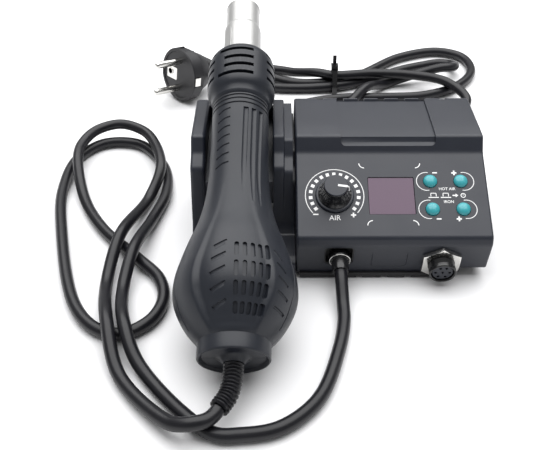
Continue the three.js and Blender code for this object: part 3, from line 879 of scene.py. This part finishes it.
def handset_solid():
    """The shell's outer shape as one closed body, with its rear boss and the rings behind the collar."""
    rear = [
        (-1.4, 0), (-1.4, 4.9), (-0.9, 5.3), (1.0, 7.0), (1.5, 8.4), (1.5, 14.4), (0.3, 15.3), (0, 15.8),
        (0.2, 16.4), (0.8, 16.7), (4.0, 16.7),
    ]
    middle = [(p.x, p.y) for p in SHELL_LINE if p.x < 134.4]
    rings = []
    for centre in (135.5, 138.3, 140.6):
        for offset, depth in ((-0.6, 0), (-0.3, 0.55), (0.3, 0.55), (0.6, 0)):
            rings.append((centre + offset, GRIP_RADIUS - depth))
    bm = lathe(rear + middle + rings + [(142, GRIP_RADIUS), (142, 0)], 180)
    for v in bm.verts:
        radius = math.hypot(v.co.x, v.co.y)
        if radius < 1:
            continue
        turn = math.degrees(math.atan2(-v.co.x, v.co.y))
        scale = (radius - sunk(v.co.z, turn)) / radius
        v.co.x *= scale
        v.co.y *= scale
    return bm


def vent_cutters():
    """The blind vents on the bulb, in rows along it."""
    cutters = []
    for start, end in VENT_ROWS:
        for turn in VENT_TURNS:
            slot = prism(stadium(VENT_WIDTH, end - start), -VENT_DEPTH, 3)
            cutters.append(placed(slot, shell_place((start + end) / 2, turn)))
    return cutters


def cheek_grooves():
    """The fins on both sides of the vents."""
    cutters = []
    for i in range(5):
        left = [(47.5 - 7.0 * i, -7), (46.8 - 7.0 * i, -10), (44.5 - 7.0 * i, -20 - i)]
        lower = [(46.3 - 7.0 * i, -9), (43.6 - 7.0 * i, -19 - i)]
        right = [(44.5 - 6.6 * i, 41 + i), (40.0 - 5.8 * i, 49 + 4 * i)]
        cutters += [groove(left, 0.6, 0.7), groove(lower, 1.6, 0.35), groove(right, 0.7, 0.6)]
    return cutters


def grip_grooves():
    """The row of finger grooves on the grip, and the three long flutes beside them."""
    cutters = []
    for i in range(7):
        along = 132.0 - 5.7 * i
        cutters.append(groove([(along, -17), (along - 0.4, -30), (along - 2.0, -46)], 0.55, 0.55))
    for start, end, stop in ((14, 11, 79.5), (31, 27, 74.5), (48, 38, 72.5)):
        cutters.append(groove([(132.5, start), (stop, end)], 1.7, 0.9, 0.8))
    return cutters


def seam_grooves():
    """The curved seam on each side of the bulb."""
    seam = [(12, 74), (24, 68), (40, 70), (56, 78), (70, 88)]
    return [groove([(along, side * turn) for along, turn in seam], 0.45, 0.35) for side in (-1, 1)]


def screw_holes():
    """The deep holes under the handset that its screws sit in."""
    places = ((-13, 60), (13, 60), (-9, 104), (9, 104))
    return [placed(disc(2.6, -30, 0, 24), moved(x, 0, along) @ spun("X", -90)) for x, along in places]


def add_handset():
    inside = [(p.x, p.y - SHELL_WALL) for p in SHELL_LINE if p.x > 9]
    cavity = [(3, 0), (3, 13.5)] + inside + [(143, 11.8), (143, 0)]
    details = vent_cutters() + cheek_grooves() + grip_grooves() + seam_grooves()
    halves = (
        ("handset_top", 1, "handset_upper_shell", details),
        ("handset_under", -1, "handset_lower_shell", screw_holes()),
    )
    for name, side, node, cutters in halves:
        half = scratch(handset_solid())
        other_half = box(90, 60, 340, (0, -side * (30 - HALF_OVERLAP), 100))
        carve(half, [lathe(cavity, 72), other_half, disc(3.9, -3, 4, 32)])
        carve(half, cutters)
        half.data.transform(HANDSET)
        finish_piece(half, name, HANDSET_PLASTIC, [node], body="handset", smooth=38)


def ring_slot(along, width, start, end):
    """A slot through the collar's wall between two turns, in degrees from the top."""
    outer = arc((0, 0), COLLAR_RADIUS + 2.7, 90 + start, 90 + end, 14)
    inner = arc((0, 0), COLLAR_RADIUS - 5.3, 90 + end, 90 + start, 14)
    return prism(outer + inner, along - width / 2, along + width / 2)


def add_collar():
    shoulder = [
        (144.2, 15.5), (145.6, 15.75), (147.2, 16.3), (149.0, 17.4), (150.8, 18.05), (153.0, COLLAR_RADIUS),
        (167, COLLAR_RADIUS), (170.5, 18.0), (173.4, 17.2), (175.6, 15.8), (177.2, 13.9), (178, 11.8),
    ]
    smooth_shoulder = [(p.x, p.y) for p in smooth_line([(along, r, 0) for along, r in shoulder], 4)]
    profile = [(142.3, 0), (142.3, 14.0), (142.8, 14.8)] + smooth_shoulder + [(178, 0)]
    collar = scratch(lathe(profile, 160))
    cutters = [disc(11.2, 141, 175, 64), disc(NOZZLE_RADIUS + 0.4, 170, 180, 64)]
    for along, start in ((153.5, -40), (159.0, -28), (164.5, -28), (170.2, -38)):
        cutters.append(ring_slot(along, 2.2, start, 23))
    for width, start, end in ((2.0, -90, -50), (2.0, 50, 90), (1.7, 150, 210)):
        for i in range(4):
            cutters.append(ring_slot(154.5 + 5.8 * i, width, start, end))
    carve(collar, cutters)
    soften(collar, 0.22, 2, 50)
    collar.data.transform(HANDSET)
    finish_piece(
        collar, "slotted_collar", HANDSET_PLASTIC, ["vent_collar"], body="handset")


def add_nozzle():
    """The bright pipe in front of the collar, with the bead that closes its seam."""
    # how far the surface lies under the pipe's full radius, along its outside and back along its inside
    steps = [
        (150, 0.8), (150, 0), (198.6, 0), (199.6, 0.15), (200.8, 0.75), (201.8, 0.9), (215.6, 0.9),
        (215.9, 0.7), (216.7, 0.7), (NOZZLE_END, 0.9), (NOZZLE_END, 1.5), (216.6, 1.7), (201.4, 1.7),
        (199, 0.8), (150, 0.8),
    ]
    tube = scratch(lathe([(along, NOZZLE_RADIUS - lower) for along, lower in steps], 128))
    along_pipe = rotation_frame((1, 0, 0), (0, 0, 1), (0, -1, 0), (0, 0, 188))
    to_surface = moved(0, 0, -NOZZLE_RADIUS) @ spun("Y", 180)
    bead = prism(stadium(4.6, 17, 10), -0.6, 0.3)
    weld(tube, [placed(bead, spun("Z", -48) @ along_pipe @ to_surface)])
    tube.data.transform(HANDSET)
    finish_piece(
        tube, "nozzle_pipe", BRIGHT_STEEL, ["nozzle_tube"], body="handset", smooth=35)


add_handset()
add_collar()
add_nozzle()

# ---------------- the case


CASE_CORNERS = [
    FOOT, (CASE_BACK, CASE_BOTTOM), (CASE_BACK, CASE_TOP), TOP_BEND, STEP_END, PANEL_END, PANEL_START,
    NOSE_LOW,
]
CASE_ROUNDING = (0, 0, 4, 4, 1.4, 1.6, 1.6, 1.2)
BACK_VENTS = 7
CORNER_CUT = 30.0


def along_x(outline, start, end):
    return placed(prism(outline, start, end), ALONG_X)


def label_recess():
    """A shallow sunk area over the top and the step, with rounded lower corners."""
    depth = 1.1
    sunk_top = CASE_TOP - depth
    band = [
        (80, 75), (80, sunk_top), (TOP_BEND[0] + 0.1, sunk_top), (STEP_END[0] + 0.85, 58.95), (19.5, 56.6),
        (13.0, 53.6), (0, 75),
    ]
    recess = scratch(along_x(band, 0.0, 56.0))
    window = placed(rounded_rectangle_prism(50.8, 90, 2.6, -34, 60), at(STEP, 27.9, 3.7 + 45))
    combine(recess, [window], "INTERSECT")
    return taken_back(recess)


def u_groove():
    """A thin U-shaped groove on the lower face."""
    left, right, low, high, reach = 17.5, 35.7, 5.9, 16.5, 2.2
    line = [(left, high)]
    line += arc((left + reach, low + reach), reach, 180, 270, 6)
    line += arc((right - reach, low + reach), reach, 270, 360, 6)
    line.append((right, high))
    return placed(sweep([Vector((x, y, 0.1)) for x, y in line], 0.4, 8), FACE)


def panel_holes():
    """The openings in the panel and the lower face for what sits in them."""
    holes = [
        (rounded_rectangle_prism(*WINDOW_SIZE, 0.7, -6, 2), at(PANEL, *WINDOW_AT)),
        (disc(4.4, -6, 2), at(PANEL, *KNOB_AT)),
        (rounded_rectangle_prism(*POCKET_SIZE, 2.4, -6, 2), at(FACE, *POCKET_AT)),
        (disc(SOCKET_RADIUS + 0.2, -6, 2), at(FACE, *SOCKET_AT)),
    ]
    for x in BUTTON_COLUMNS:
        for up in BUTTON_ROWS:
            holes.append((disc(BUTTON_RADIUS + 0.45, -6, 2), at(PANEL, x, up)))
    return [placed(hole, place) for hole, place in holes]


def back_holes():
    """The mains lead's hole and the row of vents in the back."""
    x, z = MAINS_INLET
    inlet = moved(x, CASE_BACK, z) @ spun("X", -90)
    vents = [box(4.0, 8, 22, (-6.8 + 11.8 * i, CASE_BACK, 51)) for i in range(BACK_VENTS)]
    return [placed(disc(5.8, -4, 4), inlet)] + vents


def add_case():
    rounded = rounded_outline([(*corner, reach) for corner, reach in zip(CASE_CORNERS, CASE_ROUNDING)])
    case = scratch(along_x(rounded, CASE_LEFT, CASE_RIGHT))
    soften(case, 1.3, 3, 40)
    # the hollow is open below, so its lowest corners lie under the case
    hollow = [(y, -1 if z < 10 else z) for y, z in inset(CASE_CORNERS, WALL)]
    carve(case, [along_x(hollow, CASE_LEFT + WALL, CASE_RIGHT - WALL)])
    corner = box(CORNER_CUT, CORNER_CUT, 7, (CASE_RIGHT + 1, CASE_FRONT, 3.3))
    carve(case, [label_recess(), u_groove()] + panel_holes() + back_holes() + [corner])
    soften(case, 0.22, 2, 55)
    finish_piece(case, "case_shell", CASE_PLASTIC, ["upper_case"], smooth=36)


def add_pocket():
    """The cup that the gland of the handset's lead sits in; its darker plastic is painted shade for the
    deep recess.
    """
    width, height = POCKET_SIZE
    cup = scratch(rounded_rectangle_prism(width - 0.1, height - 0.1, 2.35, -4.8, -0.25))
    carve(cup, [rounded_rectangle_prism(width - 1.5, height - 1.5, 1.8, -3.9, 1)])
    bore_at = moved(GLAND_AT[0] - POCKET_AT[0], GLAND_AT[1] - POCKET_AT[1], 0)
    carve(cup, [placed(disc(4.7, -8, 1), bore_at)])
    cup.data.transform(at(FACE, *POCKET_AT))
    # The cup's darker plastic is painted shade for the recess.
    finish_piece(cup, "gland_pocket", INNER_PLASTIC_AND_SHADE)


def add_gland():
    """The gland that the handset's lead leaves the station through, with a plated band round it."""
    profile = [
        (-4.4, 0), (-4.4, 4.4), (-2.5, 4.4), (-2.5, 5.6), (-1.2, 5.9), (0.6, 5.9), (1.2, 5.6), (1.4, 5.0),
        (1.3, 4.7), (6.8, 4.4), (8.4, 4.2), (9.0, 3.9), (9.0, 0),
    ]
    gland = scratch(lathe(profile, 64))
    gland.data.transform(at(FACE, *GLAND_AT, -0.6))
    finish_piece(gland, "lead_gland", GLOSS_PLASTIC, ["hose_gland"])
    turns = [2 * math.pi * i / 12 for i in range(12)]
    section = [(1.2 + 0.3 * math.sin(t), 5.3 + 0.34 * math.cos(t)) for t in turns]
    band = scratch(placed(lathe(section + section[:1], 64), at(FACE, *GLAND_AT, -0.2)))
    finish_piece(band, "gland_band", NICKEL, smooth=60)


# ---------------- what is printed on the panel

PRINT_HEIGHT = 0.035
CAPITAL_SHARE = 0.7  # a capital letter's height as a share of the font's size


def letters(text, height, x, up):
    """Plain capital letters, centred on a point of the panel."""
    curve = bpy.data.curves.new("letters", "FONT")
    curve.body = text
    curve.size = height / CAPITAL_SHARE
    curve.align_x = "CENTER"
    curve.align_y = "CENTER"
    curve.offset = 0.012 * height
    curve.resolution_u = 6
    curve.extrude = PRINT_HEIGHT / 2
    obj = bpy.data.objects.new("letters", curve)
    bpy.context.scene.collection.objects.link(obj)
    mesh = evaluated(obj)
    bm = bmesh.new()
    bm.from_mesh(mesh)
    bpy.data.objects.remove(obj)
    bpy.data.curves.remove(curve)
    bpy.data.meshes.remove(mesh)
    bmesh.ops.translate(bm, verts=bm.verts, vec=(x, up, PRINT_HEIGHT / 2))
    return bm


def printed(outline):
    return prism(outline, 0.0, PRINT_HEIGHT)


def stroke(x, up, width, height, turn=0.0):
    """A printed bar centred on a point."""
    w, h = width / 2, height / 2
    bar = printed([(-w, -h), (w, -h), (w, h), (-w, h)])
    return placed(bar, moved(x, up, 0) @ spun("Z", turn))


def curved_stroke(centre, radius, start, end, width):
    steps = max(8, round(abs(end - start) / 5))
    outer = arc(centre, radius + width / 2, start, end, steps)
    inner = arc(centre, radius - width / 2, end, start, steps)
    return printed(outer + inner)


def plus(x, up):
    return [stroke(x, up, 2.7, 0.85), stroke(x, up + 0.9, 0.85, 0.93), stroke(x, up - 0.9, 0.85, 0.93)]


def dial_marks():
    marks = [curved_stroke(KNOB_AT, 15.3, -41, 221, 0.42)]
    for i in range(17):
        turn = 217.6 - 15.95 * i
        marks.append(stroke(*polar(12.6, turn, KNOB_AT), 1.9, 1.75, turn))
    marks.append(stroke(-11.9, 13.3, 2.7, 0.75))
    marks += plus(7.6, 12.9)
    marks.append(letters("AIR", 2.75, -2.0, 11.2))
    return marks


def window_marks():
    corners = ((14.4, 43.2, 180, 270), (41.4, 43.2, 270, 360), (17.4, 7.0, 90, 180), (38.2, 7.0, 0, 90))
    return [curved_stroke((x, up), 2.7, start, end, 0.5) for x, up, start, end in corners]


def button_marks():
    left, right = BUTTON_COLUMNS
    low, high = BUTTON_ROWS
    marks = []
    for up in (low, high):
        marks.append(curved_stroke((left - 1.9, up), 5.3, 78, 282, 0.38))
        marks.append(curved_stroke((right + 1.7, up), 5.3, -102, 102, 0.38))
    marks += [stroke(51.6, high + 5.1, 2.5, 0.75), stroke(51.6, low - 5.5, 2.5, 0.75)]
    marks += plus(61.8, high + 5.0) + plus(62.0, low - 5.5)
    marks.append(letters("HOT AIR", 1.55, 57.3, high - 4.5))
    marks.append(letters("IRON", 1.55, 57.6, low + 4.3))
    return marks


def mode_marks():
    """Two trays, an arrow and a clock between the two rows of buttons."""
    up = 24.1
    marks = []
    for x in (49.9, 56.3):
        marks += [stroke(x, up - 1.15, 5.4, 0.5), stroke(x, up + 1.3, 2.9, 0.4)]
        marks += [stroke(x - 1.4, up + 0.25, 0.4, 1.7), stroke(x + 1.4, up + 0.25, 0.4, 1.7)]
    marks.append(stroke(60.6, up, 1.5, 0.7))
    marks.append(printed([(61.4, up - 1.1), (62.8, up), (61.4, up + 1.1)]))
    marks.append(curved_stroke((65.4, up), 1.15, 0, 359, 0.4))
    marks.append(stroke(65.4, up + 0.35, 0.3, 0.9))
    return marks


def add_print():
    marks = dial_marks() + window_marks() + button_marks() + mode_marks()
    panel_print = scratch(placed(together(*marks), at(PANEL, 0, 0, 0.005)))
    finish_piece(panel_print, "panel_print", PRINT_WHITE, smooth=30)


# ---------------- knob, buttons, window


KNOB_FLUTES = 18
POINTER_TURN = -8.0


def add_knob():
    place = at(PANEL, *KNOB_AT)
    profile = [
        (1.75, 0), (1.75, 8.5), (2.3, 8.7), (3.1, 8.2), (4.6, 7.4), (7, 6.9), (10.6, 6.45), (11.1, 6.2),
        (11.1, 0),
    ]
    grip = scratch(lathe(profile, 128))
    flute = ((9.1, 2.9), (7.85, 4.8), (7.3, 7.0), (6.9, 12.0))
    turns = [360 * i / KNOB_FLUTES for i in range(KNOB_FLUTES)]
    carve(grip, [sweep([Vector((*polar(r, turn), z)) for r, z in flute], 0.6, 10) for turn in turns])
    grip.data.transform(place)
    finish_piece(grip, "knob_grip", GLOSS_PLASTIC, ["airflow_knob"], body="knob")

    skirt = [(0.35, 0), (0.35, 9.9), (0.6, 10.1), (1.0, 10.1), (1.5, 9.8), (1.7, 9.3), (1.7, 0)]
    cap = [(10.9, 0), (10.9, 6.1), (11.4, 6.15), (11.65, 5.95), (11.7, 5.6), (11.7, 0)]
    for name, outline, smooth in (("knob_skirt", skirt, 40), ("knob_cap", cap, 50)):
        ring = scratch(placed(lathe(outline, 96), place))
        finish_piece(ring, name, CASE_PLASTIC, body="knob", smooth=smooth)

    on_top = placed(stroke(3.4, 0.2, 5.0, 1.15), moved(0, 0, 11.7))
    side = sweep([Vector((6.25, 0.2, 11.5)), Vector((6.72, 0.2, 9.8)), Vector((7.05, 0.2, 7.4))], 0.4, 10)
    pointer = scratch(placed(together(on_top, side), place @ spun("Z", POINTER_TURN)))
    finish_piece(pointer, "knob_pointer", PRINT_WHITE, body="knob")


def add_buttons():
    r = BUTTON_RADIUS + 0.25
    profile = [
        (-3.2, 0), (-3.2, r - 0.3), (-3.0, r), (0.35, r), (0.7, r - 0.08), (1.1, r - 0.4), (1.7, r * 0.74),
        (2.15, r * 0.42), (2.3, r * 0.18), (2.32, 0),
    ]
    for row, up in zip(("iron", "hot_air"), BUTTON_ROWS):
        for sign, x in zip(("down", "up"), BUTTON_COLUMNS):
            name = f"{row}_{sign}"
            cap = scratch(placed(lathe(profile, 64), at(PANEL, x, up)))
            finish_piece(
                cap, f"{name}_cap", TEAL_PLASTIC, [f"{name}_button"], body=name, smooth=60)


def add_window():
    width, height = WINDOW_SIZE
    pane = scratch(rounded_rectangle_prism(width - 0.5, height - 0.5, 0.55, -2.0, -0.35))
    soften(pane, 0.12, 2, 40)
    pane.data.transform(at(PANEL, *WINDOW_AT))
    finish_piece(pane, "window_pane", WINDOW_PLASTIC, ["display_window"])


# ---------------- the iron's socket


SOCKET_ACROSS_FLATS = 19.4
THREAD_TURNS = 5
CONTACT_TURNS = (0, 65, 115, 180, 240, 300)


def add_socket_nut():
    corner_radius = SOCKET_ACROSS_FLATS / math.sqrt(3)
    hexagon = disc(corner_radius, 0.3, 2.7, 6)
    nut = scratch(placed(hexagon, spun("Z", 30)))
    combine(nut, [lathe([(-1, 0), (-1, 14), (1.1, 14), (2.75, 9.75), (2.75, 0)], 96)], "INTERSECT")
    carve(nut, [disc(SOCKET_RADIUS + 0.15, -1, 4, 72)])
    soften(nut, 0.15, 2, 40)
    nut.data.transform(at(FACE, *SOCKET_AT))
    finish_piece(nut, "socket_nut", NICKEL, ["iron_socket_nut"])


def add_socket_barrel():
    r = SOCKET_RADIUS
    thread = []
    for i in range(THREAD_TURNS):
        z = 2.9 + 0.75 * i
        thread += [(z, r - 0.28), (z + 0.3, r)]
    rim = [
        (6.9, r - 0.25), (7.1, r + 0.1), (8.3, r + 0.1), (8.7, r - 0.2), (8.7, 6.2), (8.4, 5.9), (6.0, 5.8),
        (6.0, 0),
    ]
    profile = [(-8, 0), (-8, 6), (-1, 6), (-1, r), (2.8, r)] + thread + rim
    barrel = scratch(placed(lathe(profile, 96), at(FACE, *SOCKET_AT)))
    finish_piece(barrel, "socket_barrel", GLOSS_PLASTIC, ["iron_socket_barrel"], smooth=35)


def add_socket_insert():
    insert = scratch(lathe([(6.05, 0), (6.05, 5.4), (7.6, 5.4), (7.8, 5.2), (7.8, 0)], 64))
    holes = [disc(0.7, 6.4, 9, 20)]
    for turn in CONTACT_TURNS:
        holes.append(placed(disc(0.75, 6.4, 9, 20), moved(*polar(3.7, turn), 0)))
    carve(insert, holes)
    insert.data.transform(at(FACE, *SOCKET_AT))
    finish_piece(insert, "socket_insert", CASE_PLASTIC, ["iron_socket_insert"], smooth=35)


BASE_SCREWS_AT = ((-4, -14), (44, -14), (-4, 54), (60, 54))


def add_base():
    """The cover under the case, with the lip that shows along its front edge."""
    plate = scratch(box(95.8, 84.4, 2, ((CASE_LEFT + CASE_RIGHT) / 2, 20, 3.4)))
    weld(plate, [box(80, 4.4, 3.0, (20, -24.3, 2.2))])
    notches = [box(3.4, 2, 0.9, (x, -26.2, 1.0)) for x in (11.8, 25.0, 37.6)]
    slots = [box(36, 3, 9, (34, 4 + 8 * i, CASE_BOTTOM)) for i in range(6)]
    screws = [placed(disc(2.8, -1, 9, 24), moved(x, y, 0)) for x, y in BASE_SCREWS_AT]
    corner = box(CORNER_CUT + 0.2, CORNER_CUT + 0.2, 7, (CASE_RIGHT + 1, CASE_FRONT, 3.4))
    carve(plate, notches + slots + screws + [corner])
    finish_piece(plate, "base_plate", INNER_PLASTIC_AND_SHADE, ["base_cover"], smooth=30)


# ---------------- the cradle


def cradle_outline(lower=0.0):
    """The side wall's outline, or one lowered by a distance for the web beside it."""
    front = CASE_FRONT + 3
    back = CASE_BACK - 2
    top = CASE_TOP - lower
    return rounded_outline([
        (front, 0, 0), (back, 0, 0), (back, top, 3), (TOP_BEND[0], top, 4),
        (STEP_END[0], STEP_END[1] - lower, 1.4), (PANEL_END[0], PANEL_END[1] - lower, 1.6),
        (6.8, 48 - lower, 2.2), (-1, 16, 3), (-4.5, 12.2, 1), (-24, 12, 2), (front, 10, 1.5),
    ])


def cradle_side(start, end, width, segments):
    side = scratch(along_x(cradle_outline(), start, end))
    return soften(side, width, segments, 40)


def cradle_middle():
    """Floor, deck, saddle and back wall between the sides, and the two webs that reach to the case."""
    floor_start = CRADLE_LEFT + 3
    floor_width = CASE_LEFT - CASE_GAP - floor_start
    inner = (CRADLE_INNER_LEFT - 1, CRADLE_INNER_RIGHT + 1)
    deck = [(6, 26), (62, 40), (62, 51), (31, 46), (6, 40)]
    saddle = [(6, 36), (31, 44), (31, 60), (6, 50)]
    back_wall = [(57, 30), (62, 30), (62, 50), (57, 59)]
    return [
        box(floor_width, 88, 3, (floor_start + floor_width / 2, 17, 1.5)),
        along_x(deck, *inner),
        along_x(saddle, HANDSET_REAR[0] - 13, HANDSET_REAR[0] + 13),
        along_x(back_wall, *inner),
        along_x(cradle_outline(2.4), CRADLE_RIGHT - 1, CASE_LEFT - 1.4),
        along_x(cradle_outline(9.0), CASE_LEFT - 3, CASE_LEFT - CASE_GAP),
    ]


def add_cradle():
    cradle = cradle_side(CRADLE_LEFT, CRADLE_INNER_LEFT, 1.9, 4)
    right = cradle_side(CRADLE_INNER_RIGHT, CRADLE_RIGHT, 1.0, 3)
    weld(cradle, cradle_middle() + [taken_back(right)])
    trough = placed(disc(GRIP_RADIUS + 0.5, 90, 180, 72), HANDSET)
    headroom = placed(box(2 * GRIP_RADIUS + 1, 40, 90, (0, 20, 135)), HANDSET)
    places = [moved(CRADLE_RIGHT - 6.2, y, 9) @ spun("Y", 90) for y in (10, 44)]
    carve(cradle, [trough, headroom] + [placed(disc(2.7, -2, 12, 24), place) for place in places])
    finish_piece(cradle, "cradle_shell", CASE_PLASTIC, ["cradle"], smooth=36)


add_case()
add_pocket()
add_gland()
add_print()
add_knob()
add_buttons()
add_window()
add_socket_nut()
add_socket_barrel()
add_socket_insert()
add_base()
add_cradle()

# ---------------- materials for the CAD nodes that stay

NODE_MATERIALS = {
    "display_module": INNER_PLASTIC_AND_SHADE, "control_board": BOARD_GREEN, "power_board": BOARD_GREEN,
    "transformer": INNER_PLASTIC_AND_SHADE, "airflow_pot": SCREW_STEEL, "heater_core": MICA,
    "fan_motor": INNER_PLASTIC_AND_SHADE, "fan_impeller": INNER_PLASTIC_AND_SHADE, "lead_clamp": INNER_PLASTIC_AND_SHADE,
    "handset_magnet": NICKEL, "mains_gland": LEAD_RUBBER, "cable_tie": GLOSS_PLASTIC,
}


def material_of(node):
    if "screw" in node:
        return SCREW_STEEL
    if node.startswith("rubber_foot"):
        return FOOT_RUBBER
    return NODE_MATERIALS[node]


def dress_nodes():
    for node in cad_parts:
        obj = bpy.data.objects.get(node)
        if obj is None or obj.type != "MESH" or obj.hide_render:
            continue
        obj.data.materials.clear()
        obj.data.materials.append(material_of(node))


dress_nodes()
